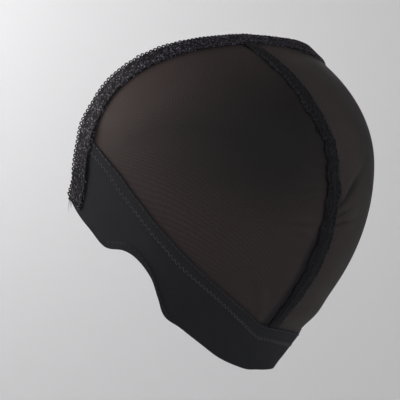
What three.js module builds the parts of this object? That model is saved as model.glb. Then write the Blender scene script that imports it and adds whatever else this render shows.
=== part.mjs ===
// Half-head wig cap in its worn form: two sheer mesh side panels that meet at a taped centre-back
// seam, a lace elastic along the open front, and an opaque stretch band round the ears and nape.
// Millimetres, +Z up, the face towards -Y, the wearer's left towards +X.
// The origin is the middle of the head that fills the cap, at the head's widest level.
import * as THREE from 'three';

// Head that the cap is stretched over: an ellipse at each height
const HALF_BREADTH = 78.2; // ear to ear, halved
const BACK_REACH = 87.5; // ear line to the back of the head
const CROWN_HEIGHT = 69.2; // widest level to the top of the head
const BASE_DEPTH = 109; // widest level to where the skull would close below
const NECK_REACH = 36; // ear line to the back of the neck
const NECK_BLEND = 16; // softness of the hollow between skull and neck

// How the head closes towards crown and base: 0.5 is an ellipse, less is boxier, more is rounder
const CROWN_CLOSING = { breadth: 0.35, reach: 0.68 };
const BASE_CLOSING = { breadth: 0.53, reach: 0.87 };

// Cloth thicknesses, and the gap kept where one layer lies on another
const MESH_THICK = 1.0;
const TAPE_THICK = 1.0;
const BAND_THICK = 1.0;
const ELASTIC_THICK = 1.2;
const HEM_EXTRA = 0.8; // turned-up cloth along the ear notch
const LAYER_GAP = 0.3;

// Widths and laps
const TAPE_WIDTH = 7;
const TAPE_SPREAD = { gain: 2.2, from: [0.6, 0.72], to: [0.86, 1] }; // where it lies flat, as shares of its length
const ELASTIC_WIDTH = 9;
const ELASTIC_END_SLANT = 1.5; // the inner edge of each end is cut this much lower
const ELASTIC_END_ROWS = 1.5; // rows of the front edge over which that slant comes in
const ELASTIC_CLIMB = 12; // length over which the elastic climbs on to the band's front corner
const MESH_INSET = 2; // mesh edge behind the front edge of the elastic
const BAND_LAP = 8; // band over the lower edge of the mesh
const HEM_WIDTH = 4.5;
const CENTRE_GAP = 0.15; // each panel's edge from the middle of the seam
const LAP_MARGIN = 1.5; // level cloth past the edge of the layer below
const RAMP = 4; // length over which a layer climbs on to the next

// Front edge on the left half, from the midline of the crown to the tip at the temple:
// angle round the head from the back midline (degrees) and height
const FRONT_LEFT = [
  { angle: 0, height: 61.8 },
  { angle: 15, height: 61.5 },
  { angle: 30, height: 60.7 },
  { angle: 44.5, height: 59.2 },
  { angle: 57, height: 56.9 },
  { angle: 68, height: 53.2 },
  { angle: 76.4, height: 48.3 },
  { angle: 82.5, height: 42.1 },
  { angle: 86.4, height: 34.3 },
  { angle: 89, height: 24.7 },
  { angle: 90.2, height: 12 },
  { angle: 92, height: -2 },
  { angle: 95.4, height: -12.5 },
];

// The same on the right half, where the worn edge lies a little further back over the crown
const FRONT_RIGHT = [
  { angle: 0, height: 61.8 },
  { angle: 15, height: 60.7 },
  { angle: 30, height: 58.7 },
  { angle: 44.5, height: 56.4 },
  { angle: 57, height: 54 },
  { angle: 67.5, height: 50.9 },
  { angle: 75.5, height: 46.8 },
  { angle: 81.3, height: 41.2 },
  { angle: 85.5, height: 34 },
  { angle: 88.4, height: 24.5 },
  { angle: 90, height: 12 },
  { angle: 92, height: -2 },
  { angle: 95.4, height: -12.5 },
];
const LAST_EDGE = FRONT_LEFT.length - 1;

// Where the front edge of the elastic stands off the head, right of the crown: row of the middle,
// reach in rows, height
const FLARE = { row: -3, reach: 1.6, lift: 1.6 };

// How the worn seam leaves the midline: what it leans towards the wearer's left (or right, below
// zero) from one height to another, added up
const SEAM_LEANS = [
  { lean: 4.6, from: 0, to: 62 },
  { lean: -1.2, from: 6, to: -12 },
  { lean: 3.4, from: -44, to: -74 },
];

// Lines across the band, upper edge to lower edge, from nape to temple tip: the lower edge runs
// up from the nape, round the ear notch and along the temple
const BAND_LEFT = [
  { topAngle: 0, topHeight: -76, lowAngle: 0, lowHeight: -98.6 },
  { topAngle: 11, topHeight: -73, lowAngle: 11, lowHeight: -97.7 },
  { topAngle: 24, topHeight: -64.5, lowAngle: 22, lowHeight: -94.5 },
  { topAngle: 34, topHeight: -56, lowAngle: 32, lowHeight: -89.8 },
  { topAngle: 42, topHeight: -48, lowAngle: 42, lowHeight: -82.2 },
  { topAngle: 48, topHeight: -41, lowAngle: 52, lowHeight: -74 },
  { topAngle: 52.5, topHeight: -35, lowAngle: 59.4, lowHeight: -67.6 },
  { topAngle: 57, topHeight: -28, lowAngle: 61.6, lowHeight: -58 },
  { topAngle: 61, topHeight: -21.8, lowAngle: 63.6, lowHeight: -48.5 },
  { topAngle: 65, topHeight: -14.5, lowAngle: 68.2, lowHeight: -40 },
  { topAngle: 69, topHeight: -7.2, lowAngle: 73.5, lowHeight: -35.9 },
  { topAngle: 74, topHeight: 1.5, lowAngle: 81.5, lowHeight: -35 },
  { topAngle: 80, topHeight: 9.8, lowAngle: 87, lowHeight: -27.5 },
  { topAngle: 85, topHeight: 15.5, lowAngle: 91.8, lowHeight: -20.8 },
  { topAngle: 88.4, topHeight: 18.7, lowAngle: 95.2, lowHeight: -14.3 },
];

// The same on the right half, where the worn band lies low round the nape and then climbs
const BAND_RIGHT = [
  { topAngle: 0, topHeight: -76, lowAngle: 0, lowHeight: -98.6 },
  { topAngle: 12, topHeight: -78.8, lowAngle: 11, lowHeight: -99.4 },
  { topAngle: 24, topHeight: -81.3, lowAngle: 22, lowHeight: -100 },
  { topAngle: 34, topHeight: -83.2, lowAngle: 33, lowHeight: -100.2 },
  { topAngle: 42.5, topHeight: -84.4, lowAngle: 43, lowHeight: -100.2 },
  { topAngle: 50, topHeight: -84.3, lowAngle: 52, lowHeight: -99.5 },
  { topAngle: 57, topHeight: -81, lowAngle: 60, lowHeight: -97 },
  { topAngle: 61.5, topHeight: -72.5, lowAngle: 66.5, lowHeight: -90.5 },
  { topAngle: 65, topHeight: -59.5, lowAngle: 70.5, lowHeight: -79.5 },
  { topAngle: 68, topHeight: -44, lowAngle: 73.5, lowHeight: -66.5 },
  { topAngle: 71, topHeight: -27, lowAngle: 76.5, lowHeight: -54 },
  { topAngle: 75, topHeight: -9, lowAngle: 81.5, lowHeight: -44 },
  { topAngle: 80, topHeight: 7, lowAngle: 87, lowHeight: -33 },
  { topAngle: 84.8, topHeight: 15, lowAngle: 91.8, lowHeight: -22.5 },
  { topAngle: 88.4, topHeight: 18.7, lowAngle: 95.2, lowHeight: -14.3 },
];
const LAST_STATION = BAND_LEFT.length - 1;
const NOTCH_BACK = 6; // station at the back corner of the ear notch
const NOTCH_FRONT = 11; // station at its front corner
const PANEL_LAST_STATION = 13.6; // where the mesh ends under the band
const PANEL_LAST_EDGE = 9.2; // row of the front edge where the mesh ends under the elastic

// Mesh counts
const PANEL_COLUMNS = 20;
const PANEL_ROWS = 26;
const STEPS_PER_STATION = 3;
const STEPS_PER_EDGE_ROW = 4;
const TAPE_ROWS = 40;

const { clamp, degToRad, lerp, smoothstep } = THREE.MathUtils;

function softMax(a, b, blend) {
  const overlap = Math.max(blend - Math.abs(a - b), 0);
  return Math.max(a, b) + (overlap * overlap) / (4 * blend);
}

function latitudeOf(height) {
  return Math.asin(height / (height > 0 ? CROWN_HEIGHT : BASE_DEPTH));
}

// Half breadth and back reach of the head's section at a latitude, and the section's height
function headSection(latitude) {
  const above = latitude > 0;
  const closing = above ? CROWN_CLOSING : BASE_CLOSING;
  const roundness = Math.cos(latitude) ** 2;
  const skullReach = BACK_REACH * roundness ** closing.reach;
  return {
    halfBreadth: HALF_BREADTH * roundness ** closing.breadth,
    backReach: above ? skullReach : softMax(skullReach, NECK_REACH, NECK_BLEND),
    height: (above ? CROWN_HEIGHT : BASE_DEPTH) * Math.sin(latitude),
  };
}

// A spot on the head is an angle round it (radians from the back midline) and a latitude
function headPoint({ angle, latitude }) {
  const { halfBreadth, backReach, height } = headSection(latitude);
  return new THREE.Vector3(halfBreadth * Math.sin(angle), backReach * Math.cos(angle), height);
}

function headTangents({ angle, latitude }) {
  const step = 1e-4;
  const along = (turn, rise) => headPoint({ angle: angle + turn, latitude: latitude + rise });
  return {
    round: along(step, 0).sub(along(-step, 0)).divideScalar(2 * step),
    upward: along(0, step).sub(along(0, -step)).divideScalar(2 * step),
  };
}

function headNormal(spot) {
  const { round, upward } = headTangents(spot);
  return upward.cross(round).normalize();
}

// Point of the cloth that lies a given height off the head
function clothPoint(spot, lift) {
  return headPoint(spot).addScaledVector(headNormal(spot), lift);
}

// Spot reached by a short step over the head in a direction of space
function stepOver(spot, direction, length) {
  const { round, upward } = headTangents(spot);
  const step = direction.clone().multiplyScalar(length);
  const rr = round.dot(round);
  const ru = round.dot(upward);
  const uu = upward.dot(upward);
  const sr = step.dot(round);
  const su = step.dot(upward);
  const determinant = rr * uu - ru * ru;
  return {
    angle: spot.angle + (sr * uu - su * ru) / determinant,
    latitude: spot.latitude + (su * rr - sr * ru) / determinant,
  };
}

// Curve through the spots of the left half and the right half, read by row number: rows to the
// right of the midline are negative
function edgeCurve(leftSpots, rightSpots) {
  const left = leftSpots.map(({ angle, latitude }) => new THREE.Vector3(angle, latitude, 0));
  const right = rightSpots.map(({ angle, latitude }) => new THREE.Vector3(-angle, latitude, 0));
  const knots = [...right.slice(1).reverse(), ...left];
  const curve = new THREE.CatmullRomCurve3(knots, false, 'catmullrom', 0.5);
  const last = leftSpots.length - 1;
  return (row) => {
    const { x, y } = curve.getPoint(clamp((row + last) / (2 * last), 0, 1));
    return { angle: x, latitude: y };
  };
}

function tableSpots(rows, angle, height) {
  return rows.map((row) => ({ angle: degToRad(row[angle]), latitude: latitudeOf(row[height]) }));
}

function bandCurve(angle, height) {
  return edgeCurve(tableSpots(BAND_LEFT, angle, height), tableSpots(BAND_RIGHT, angle, height));
}

const frontSpots = [FRONT_LEFT, FRONT_RIGHT].map((rows) => tableSpots(rows, 'angle', 'height'));
const frontEdge = edgeCurve(...frontSpots);
const bandTop = bandCurve('topAngle', 'topHeight');
const bandLow = bandCurve('lowAngle', 'lowHeight');

function between(a, b, share) {
  return {
    angle: lerp(a.angle, b.angle, share),
    latitude: lerp(a.latitude, b.latitude, share),
  };
}

// Spot a distance behind the front edge, measured square to that edge over the head
function behindFrontEdge(row, distance) {
  const nudge = 0.02;
  const start = frontEdge(row);
  const travel = headPoint(frontEdge(row + nudge)).sub(headPoint(frontEdge(row - nudge))).normalize();
  const strides = 4;
  let spot = start;
  for (let stride = 0; stride < strides; stride += 1) {
    const inward = headNormal(spot).cross(travel).normalize();
    spot = stepOver(spot, inward, distance / strides);
  }
  return spot;
}

function stationLength(station) {
  return headPoint(bandTop(station)).distanceTo(headPoint(bandLow(station)));
}

function bandSpot(station, distance) {
  return between(bandTop(station), bandLow(station), distance / stationLength(station));
}

// Sideways distance of the seam from the midline at a height
function seamLean(height) {
  const shares = SEAM_LEANS.map(({ lean, from, to }) => lean * smoothstep((height - from) / (to - from), 0, 1));
  return shares.reduce((sum, share) => sum + share);
}

// Where the band lies on the mesh: 1 on the lap, 0 well past it
function onMeshLap(distance) {
  return 1 - smoothstep(distance, BAND_LAP + LAP_MARGIN, BAND_LAP + LAP_MARGIN + RAMP);
}

function inNotch(station) {
  const row = Math.abs(station);
  return smoothstep(row, NOTCH_BACK - 1, NOTCH_BACK) * (1 - smoothstep(row, NOTCH_FRONT - 1, NOTCH_FRONT));
}

// Distance of a spot below the band's upper edge, for spots near the temple
function belowBandTop({ angle, latitude }) {
  const turn = Math.abs(angle);
  const stride = 0.1;
  let station = LAST_STATION;
  while (station > 0 && bandTop(station).angle > turn) {
    station -= stride;
  }
  const { height } = headSection(latitude);
  return headSection(bandTop(station).latitude).height - height;
}

// Closed wall of cloth between an inner and an outer grid of points: columns run with the angle
// round the head and rows run down, so that its faces point out
function clothWall(columns, rows, innerPoint, outerPoint) {
  const positions = [];
  for (const layer of [outerPoint, innerPoint]) {
    for (let column = 0; column < columns; column += 1) {
      for (let row = 0; row < rows; row += 1) {
        positions.push(...layer(column, row).toArray());
      }
    }
  }
  const outer = (column, row) => column * rows + row;
  const inner = (column, row) => columns * rows + outer(column, row);
  const triangles = [];
  const quad = (a, b, c, d) => triangles.push(a, b, c, a, c, d);
  const lastColumn = columns - 1;
  const lastRow = rows - 1;
  for (let c = 0; c < lastColumn; c += 1) {
    for (let r = 0; r < lastRow; r += 1) {
      quad(outer(c, r), outer(c + 1, r), outer(c + 1, r + 1), outer(c, r + 1));
      quad(inner(c, r), inner(c, r + 1), inner(c + 1, r + 1), inner(c + 1, r));
    }
    quad(outer(c, 0), inner(c, 0), inner(c + 1, 0), outer(c + 1, 0));
    quad(outer(c, lastRow), outer(c + 1, lastRow), inner(c + 1, lastRow), inner(c, lastRow));
  }
  for (let r = 0; r < lastRow; r += 1) {
    quad(outer(0, r), outer(0, r + 1), inner(0, r + 1), inner(0, r));
    quad(outer(lastColumn, r), inner(lastColumn, r), inner(lastColumn, r + 1), outer(lastColumn, r + 1));
  }
  const geometry = new THREE.BufferGeometry();
  geometry.setAttribute('position', new THREE.Float32BufferAttribute(positions, 3));
  geometry.setIndex(triangles);
  geometry.computeVertexNormals();
  return geometry;
}

// Sheer mesh half of the cap, from the centre-back seam to the temple
function sidePanel(side) {
  const spotAt = (column, row) => {
    const out = side > 0 ? column : PANEL_COLUMNS - 1 - column;
    const share = out / (PANEL_COLUMNS - 1);
    const top = behindFrontEdge(side * share * PANEL_LAST_EDGE, MESH_INSET);
    const low = bandSpot(side * share * PANEL_LAST_STATION, BAND_LAP);
    const { angle, latitude } = between(top, low, row / (PANEL_ROWS - 1));
    const { halfBreadth, height } = headSection(latitude);
    const seam = seamLean(height) / halfBreadth;
    const fromSeam = side * (angle + seam * (1 - share) ** 2 - seam);
    return { angle: seam + side * Math.max(fromSeam, CENTRE_GAP / halfBreadth), latitude };
  };
  const layer = (lift) => (column, row) => clothPoint(spotAt(column, row), lift);
  return clothWall(PANEL_COLUMNS, PANEL_ROWS, layer(0), layer(MESH_THICK));
}

function tapeWidth(share) {
  const { gain, from, to } = TAPE_SPREAD;
  return TAPE_WIDTH + gain * (smoothstep(share, ...from) - smoothstep(share, ...to));
}

// Tape over the centre-back seam, its ends cut to the edges of the elastic and the band
function seamTape() {
  const across = [-0.5, 0, 0.5];
  const topSpot = (row) => behindFrontEdge(row, ELASTIC_WIDTH + LAYER_GAP);
  const lowSpot = (station) => bandSpot(station, -LAYER_GAP);
  const endLatitude = (spotOf, fromSeam) => {
    const x = fromSeam + seamLean(headPoint(spotOf(0)).z);
    return spotOf(x / headPoint(spotOf(1)).x).latitude;
  };
  const layer = (lift) => (column, row) => {
    const share = row / (TAPE_ROWS - 1);
    const fromSeam = across[column] * tapeWidth(share);
    const latitude = lerp(endLatitude(topSpot, fromSeam), endLatitude(lowSpot, fromSeam), share);
    const { halfBreadth, height } = headSection(latitude);
    const angle = Math.asin((fromSeam + seamLean(height)) / halfBreadth);
    return clothPoint({ angle, latitude }, lift);
  };
  const lift = MESH_THICK + LAYER_GAP;
  return clothWall(across.length, TAPE_ROWS, layer(lift), layer(lift + TAPE_THICK));
}

// Opaque stretch band from temple to temple, lapped over the mesh and hemmed round each ear notch
function napeBand() {
  const columns = 2 * LAST_STATION * STEPS_PER_STATION + 1;
  const fromTop = [0, BAND_LAP / 2, BAND_LAP + LAP_MARGIN, BAND_LAP + LAP_MARGIN + RAMP];
  const fromLow = [HEM_WIDTH + LAP_MARGIN, HEM_WIDTH, 0];
  const rows = fromTop.length + fromLow.length + 1;
  const stationOf = (column) => column / STEPS_PER_STATION - LAST_STATION;
  const distanceAt = (column, row) => {
    const length = stationLength(stationOf(column));
    if (row < fromTop.length) {
      return fromTop[row];
    }
    const belowTop = fromTop[fromTop.length - 1];
    const aboveHem = length - fromLow[0];
    const middle = [(belowTop + aboveHem) / 2];
    return [...middle, ...fromLow.map((distance) => length - distance)][row - fromTop.length];
  };
  const innerLift = (distance) => (MESH_THICK + LAYER_GAP) * onMeshLap(distance);
  const hemLift = (column, row) => {
    const hemmed = row >= rows - 2 ? HEM_EXTRA : 0;
    return hemmed * inNotch(stationOf(column));
  };
  const layer = (extra) => (column, row) => {
    const distance = distanceAt(column, row);
    const spot = bandSpot(stationOf(column), distance);
    return clothPoint(spot, innerLift(distance) + extra(column, row));
  };
  const inner = layer(() => 0);
  const outer = layer((column, row) => BAND_THICK + hemLift(column, row));
  return clothWall(columns, rows, inner, outer);
}

// Lace elastic along the front edge, over the mesh and the front corners of the band
function frontElastic() {
  const columns = 2 * LAST_EDGE * STEPS_PER_EDGE_ROW + 1;
  const across = [0, 0.5, 1];
  const rowOf = (column) => column / STEPS_PER_EDGE_ROW - LAST_EDGE;
  const spotAt = (column, place) => {
    const row = rowOf(column);
    const spot = behindFrontEdge(row, across[place] * ELASTIC_WIDTH);
    const atEnd = smoothstep(Math.abs(row), LAST_EDGE - ELASTIC_END_ROWS, LAST_EDGE);
    const down = new THREE.Vector3(0, 0, -1);
    return stepOver(spot, down, across[place] * atEnd * ELASTIC_END_SLANT);
  };
  const baseLift = (spot) => {
    const below = belowBandTop(spot);
    const onBand = smoothstep(below, -LAP_MARGIN - ELASTIC_CLIMB, -LAP_MARGIN);
    const pastLap = 1 - onMeshLap(below - RAMP);
    return MESH_THICK + LAYER_GAP + (BAND_THICK + LAYER_GAP) * onBand - MESH_THICK * pastLap;
  };
  const flare = (column, place) => {
    const fromMiddle = (rowOf(column) - FLARE.row) / FLARE.reach;
    return FLARE.lift * Math.exp(-(fromMiddle ** 2)) * (1 - across[place]);
  };
  const layer = (extra) => (column, place) => {
    const spot = spotAt(column, place);
    return clothPoint(spot, baseLift(spot) + flare(column, place) + extra);
  };
  return clothWall(columns, across.length, layer(0), layer(ELASTIC_THICK));
}

function cloth(name, geometry, look) {
  const material = new THREE.MeshStandardMaterial({ ...look, metalness: 0 });
  const mesh = new THREE.Mesh(geometry, material);
  mesh.name = name;
  return mesh;
}

// Dyed blacks of the four cloths and how matt each is
const MESH_LOOK = { color: '#2b2523', roughness: 0.75 };
const TAPE_LOOK = { color: '#1b1b1e', roughness: 0.9 };
const BAND_LOOK = { color: '#202124', roughness: 0.85 };
const ELASTIC_LOOK = { color: '#26272b', roughness: 0.8 };

const cap = new THREE.Group();
cap.add(
  cloth('side_panel_left', sidePanel(1), MESH_LOOK),
  cloth('side_panel_right', sidePanel(-1), MESH_LOOK),
  cloth('centre_seam_tape', seamTape(), TAPE_LOOK),
  cloth('nape_band', napeBand(), BAND_LOOK),
  cloth('front_elastic', frontElastic(), ELASTIC_LOOK),
);

export default cap;
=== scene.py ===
import math

import bpy
import numpy as np
from mathutils import Matrix, Vector


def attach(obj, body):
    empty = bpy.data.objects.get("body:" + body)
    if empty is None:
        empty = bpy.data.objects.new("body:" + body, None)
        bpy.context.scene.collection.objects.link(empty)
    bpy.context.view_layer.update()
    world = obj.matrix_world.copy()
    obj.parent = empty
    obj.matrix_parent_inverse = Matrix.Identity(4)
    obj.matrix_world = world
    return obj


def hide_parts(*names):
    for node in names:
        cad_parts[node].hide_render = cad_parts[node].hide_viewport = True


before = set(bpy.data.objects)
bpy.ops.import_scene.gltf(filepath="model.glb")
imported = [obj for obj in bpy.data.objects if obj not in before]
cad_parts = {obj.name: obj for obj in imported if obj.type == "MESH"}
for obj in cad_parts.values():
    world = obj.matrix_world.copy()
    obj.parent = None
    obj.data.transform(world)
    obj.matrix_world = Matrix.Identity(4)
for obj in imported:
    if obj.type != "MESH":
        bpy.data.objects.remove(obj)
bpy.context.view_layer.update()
scene = bpy.context.scene
chance = np.random.default_rng(seed=11)

MM = 0.001

# Form that the cap is stretched to: an ellipse at each height
HALF_BREADTH = 78.2
BACK_REACH = 87.5
CROWN_HEIGHT = 69.2
BASE_DEPTH = 109
NAPE_REACH = 36
NAPE_BLEND = 16
CROWN_CLOSING = {"breadth": 0.35, "reach": 0.68}
BASE_CLOSING = {"breadth": 0.53, "reach": 0.87}

# Cloth layers, as heights off the form and thicknesses
MESH_LIFT = 0.4
LAP_LIFT = 0.8  # where a layer lies on the mesh
TAPE_THICK = 0.7
TAPE_GAP = 0.12  # between the tape and the puckered mesh
BAND_THICK = 0.9
ELASTIC_THICK = 0.9
ELASTIC_ON_BAND = 1.1  # further lift over the band's front corner
ELASTIC_PAST_LAP = 0.8  # and what it drops again where there is no mesh under the band
HEM_EXTRA = 0.7  # of the turned-up hem in the ear notches

# Widths and laps
TAPE_WIDTH = 7
TAPE_SPREAD = 2.2  # what it gains where it lies flat, between these shares of the way down
TAPE_SPREAD_FROM = (0.6, 0.72)
TAPE_SPREAD_TO = (0.86, 1)
ELASTIC_WIDTH = 9
ELASTIC_END_SLANT = 1.5  # what its cut ends slant down by, over their last rows
ELASTIC_END_ROWS = 1.5
ELASTIC_CLIMB = (-13.5, -1.5)  # where its outer face climbs onto the band, as depths below the band's edge
ELASTIC_STEP = (-1.2, 0.5)  # where its inner face does
ELASTIC_DROP_LAG = 4  # how much further down than the band it drops past the mesh
MESH_INSET = 2  # from the front edge of the elastic to that of the mesh
BAND_LAP = 8  # of the band over the mesh
LAP_FADE = 13  # the thin mesh edge hardly shows through the band, so its step is spread out
HEM_WIDTH = 4.2
CENTRE_GAP = 0.03  # from each mesh half to the line of the seam
LAYER_GAP = 0.3  # from the ends of the tape to the elastic and the band

# Front edge on the left half, from the midline of the crown to the tip at the temple:
# angle round the form from the back midline (degrees), height
FRONT_LEFT = [
    (0, 61.8),
    (15, 61.5),
    (30, 60.7),
    (44.5, 59.2),
    (57, 56.9),
    (68, 53.2),
    (76.4, 48.3),
    (82.5, 42.1),
    (86.4, 34.3),
    (89, 24.7),
    (90.2, 12),
    (92, -2),
    (95.4, -12.5),
]

# The same on the right half, where the worn edge lies a little further back over the crown
FRONT_RIGHT = [
    (0, 61.8),
    (15, 60.7),
    (30, 58.7),
    (44.5, 56.4),
    (57, 54),
    (67.5, 50.9),
    (75.5, 46.8),
    (81.3, 41.2),
    (85.5, 34),
    (88.4, 24.5),
    (90, 12),
    (92, -2),
    (95.4, -12.5),
]
LAST_EDGE = len(FRONT_LEFT) - 1
ROW_NUDGE = 0.02  # short step along the front edge, to find its direction
INWARD_STRIDES = 4  # steps in which a distance behind it is measured

# Where the front edge of the elastic stands off the form, right of the crown: row of the middle,
# reach in rows, height
FLARE_ROW, FLARE_REACH, FLARE_LIFT = -3, 1.6, 1.6

# How the worn seam leaves the midline: what it leans towards the cap's left (or right, below zero)
# from one height to another, added up
SEAM_LEANS = [
    (4.6, 0, 62),
    (-1.2, 6, -12),
    (3.4, -44, -74),
]

# Lines across the band, from nape to temple tip:
# angle and height of the upper edge, angle and height of the lower edge
BAND_LEFT = [
    (0, -76, 0, -98.6),
    (11, -73, 11, -97.7),
    (24, -64.5, 22, -94.5),
    (34, -56, 32, -89.8),
    (42, -48, 42, -82.2),
    (48, -41, 52, -74),
    (52.5, -35, 59.4, -67.6),
    (57, -28, 61.6, -58),
    (61, -21.8, 63.6, -48.5),
    (65, -14.5, 68.2, -40),
    (69, -7.2, 73.5, -35.9),
    (74, 1.5, 81.5, -35),
    (80, 9.8, 87, -27.5),
    (85, 15.5, 91.8, -20.8),
    (88.4, 18.7, 95.2, -14.3),
]

# The same on the right half, where the worn band lies low round the nape and then climbs
BAND_RIGHT = [
    (0, -76, 0, -98.6),
    (12, -78.8, 11, -99.4),
    (24, -81.3, 22, -100),
    (34, -83.2, 33, -100.2),
    (42.5, -84.4, 43, -100.2),
    (50, -84.3, 52, -99.5),
    (57, -81, 60, -97),
    (61.5, -72.5, 66.5, -90.5),
    (65, -59.5, 70.5, -79.5),
    (68, -44, 73.5, -66.5),
    (71, -27, 76.5, -54),
    (75, -9, 81.5, -44),
    (80, 7, 87, -33),
    (84.8, 15, 91.8, -22.5),
    (88.4, 18.7, 95.2, -14.3),
]
LAST_STATION = len(BAND_LEFT) - 1
NOTCH_BACK = 6  # stations between which the lower edge is notched for the ear
NOTCH_FRONT = 11
PANEL_LAST_STATION = 13.6  # front corner of the mesh, along the band and along the front edge
PANEL_LAST_EDGE = 9.2


# The form and the lines on it. A spot is (angle from the back midline, latitude), in radians.

def smooth(value, low, high):
    share = np.clip((value - low) / (high - low), 0, 1)
    return share * share * (3 - 2 * share)


def soft_max(a, b, blend):
    overlap = np.maximum(blend - np.abs(a - b), 0)
    return np.maximum(a, b) + overlap**2 / (4 * blend)


def latitude_of(height):
    return math.asin(height / (CROWN_HEIGHT if height > 0 else BASE_DEPTH))


def form_point(spot):
    angle, latitude = spot[..., 0], spot[..., 1]
    above = latitude > 0
    roundness = np.cos(latitude) ** 2
    closing = {k: np.where(above, CROWN_CLOSING[k], BASE_CLOSING[k]) for k in CROWN_CLOSING}
    half_breadth = HALF_BREADTH * roundness ** closing["breadth"]
    round_reach = BACK_REACH * roundness ** closing["reach"]
    back_reach = np.where(above, round_reach, soft_max(round_reach, NAPE_REACH, NAPE_BLEND))
    height = np.where(above, CROWN_HEIGHT, BASE_DEPTH) * np.sin(latitude)
    return np.stack([half_breadth * np.sin(angle), back_reach * np.cos(angle), height], -1)


def form_tangents(spot):
    step = 1e-4
    turn, rise = np.array([step, 0]), np.array([0, step])
    round_form = (form_point(spot + turn) - form_point(spot - turn)) / (2 * step)
    upward = (form_point(spot + rise) - form_point(spot - rise)) / (2 * step)
    return round_form, upward


def unit(vectors):
    return vectors / np.linalg.norm(vectors, axis=-1, keepdims=True)


def form_normal(spot):
    round_form, upward = form_tangents(spot)
    return unit(np.cross(upward, round_form))


def cloth_point(spot, lift):
    return form_point(spot) + form_normal(spot) * np.asarray(lift, float)[..., None]


def step_over(spot, step):
    """Spot reached by a short step of space over the form."""
    round_form, upward = form_tangents(spot)
    pairs = (
        (round_form, round_form),
        (round_form, upward),
        (upward, upward),
        (step, round_form),
        (step, upward),
    )
    rr, ru, uu, sr, su = ((a * b).sum(-1) for a, b in pairs)
    turn = np.stack([sr * uu - su * ru, su * rr - sr * ru], -1)
    return spot + turn / (rr * uu - ru * ru)[..., None]


def edge_line(left_table, right_table):
    """Smooth line through the spots of the left half and the right half, whose rows are negative."""
    left, right = (
        np.array([(math.radians(angle), latitude_of(height)) for angle, height in table])
        for table in (left_table, right_table)
    )
    spots = np.vstack([right[:0:-1] * (-1, 1), left])
    knots = np.vstack([2 * spots[0] - spots[1], spots, 2 * spots[-1] - spots[-2]])
    middle = len(left_table) - 1

    def read(row):
        place = np.clip(np.asarray(row, float) + middle, 0, 2 * middle)
        knot = np.minimum(place.astype(int), 2 * middle - 1)
        t = (place - knot)[..., None]
        before, start, end, after = (knots[knot + k] for k in range(4))
        leave, arrive = (end - before) / 2, (after - start) / 2
        bend = 3 * (end - start) - 2 * leave - arrive
        twist = 2 * (start - end) + leave + arrive
        return start + t * (leave + t * (bend + t * twist))

    return read


front_edge = edge_line(FRONT_LEFT, FRONT_RIGHT)
band_top = edge_line([row[:2] for row in BAND_LEFT], [row[:2] for row in BAND_RIGHT])
band_low = edge_line([row[2:] for row in BAND_LEFT], [row[2:] for row in BAND_RIGHT])


def between(a, b, share):
    return a + (b - a) * np.asarray(share, float)[..., None]


def behind_front_edge(row, distance):
    """Spot a distance behind the front edge, measured square to that edge over the form."""
    row, distance = np.broadcast_arrays(np.asarray(row, float), np.asarray(distance, float))
    travel = unit(form_point(front_edge(row + ROW_NUDGE)) - form_point(front_edge(row - ROW_NUDGE)))
    spot = front_edge(row)
    for _ in range(INWARD_STRIDES):
        inward = unit(np.cross(form_normal(spot), travel))
        spot = step_over(spot, inward * (distance / INWARD_STRIDES)[..., None])
    return spot


def seam_lean(height):
    """Sideways distance of the seam from the midline at a height."""
    return sum(lean * smooth((height - start) / (full - start), 0, 1) for lean, start, full in SEAM_LEANS)


def half_breadth_at(latitude):
    return form_point(np.stack([np.full_like(latitude, math.pi / 2), latitude], -1))[..., 0]


def station_length(station):
    return np.linalg.norm(form_point(band_top(station)) - form_point(band_low(station)), axis=-1)


def band_spot(station, distance):
    return between(band_top(station), band_low(station), distance / station_length(station))


def on_mesh_lap(distance):
    return 1 - smooth(distance, BAND_LAP, BAND_LAP + LAP_FADE)


def in_notch(station):
    row = np.abs(station)
    return smooth(row, NOTCH_BACK - 1, NOTCH_BACK) * (1 - smooth(row, NOTCH_FRONT - 1, NOTCH_FRONT))


def below_band_top(spot):
    """Distance of a spot below the band's upper edge, for spots near the temple."""
    steps = 400
    stations = np.linspace(0, LAST_STATION, steps)
    edge = band_top(stations)
    station = np.interp(np.abs(spot[..., 0]), edge[:, 0], stations)
    return form_point(band_top(station))[..., 2] - form_point(spot)[..., 2]


# Meshes

SHARP_ANGLE = math.radians(65)  # edges of cloth walls stay sharp above it
FINE_STEPS = 3000  # points on a line whose length is measured
THREAD_SIDES, FINE_THREAD_SIDES = 6, 5


def run_length(points, axis=0):
    """Length of cloth from the first point along an axis of a grid of points."""
    pieces = np.linalg.norm(np.diff(points, axis=axis), axis=-1)
    pad = [(0, 0)] * pieces.ndim
    pad[axis] = (1, 0)
    return np.pad(np.cumsum(pieces, axis=axis), pad)


def mesh_piece(name, points, faces, material, cloth_place=None, cloth_values=()):
    """Piece of the cap from points in millimetres, with its place on the cloth in millimetres as a UV map."""
    mesh = bpy.data.meshes.new(name)
    mesh.from_pydata((points.reshape(-1, 3) * MM).tolist(), [], faces)
    if cloth_place is not None:
        corners = np.zeros(len(mesh.loops), np.int32)
        mesh.loops.foreach_get("vertex_index", corners)
        layer = mesh.uv_layers.new(name="Cloth")
        layer.data.foreach_set("uv", cloth_place.reshape(-1, 2)[corners].astype(np.float32).ravel())
    for value_name, values in dict(cloth_values).items():
        attribute = mesh.attributes.new(value_name, "FLOAT", "POINT")
        attribute.data.foreach_set("value", values.astype(np.float32).ravel())
    mesh.materials.append(material)
    mesh.shade_smooth()
    mesh.set_sharp_from_angle(angle=SHARP_ANGLE)
    piece = bpy.data.objects.new(name, mesh)
    scene.collection.objects.link(piece)
    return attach(piece, "root")


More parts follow.
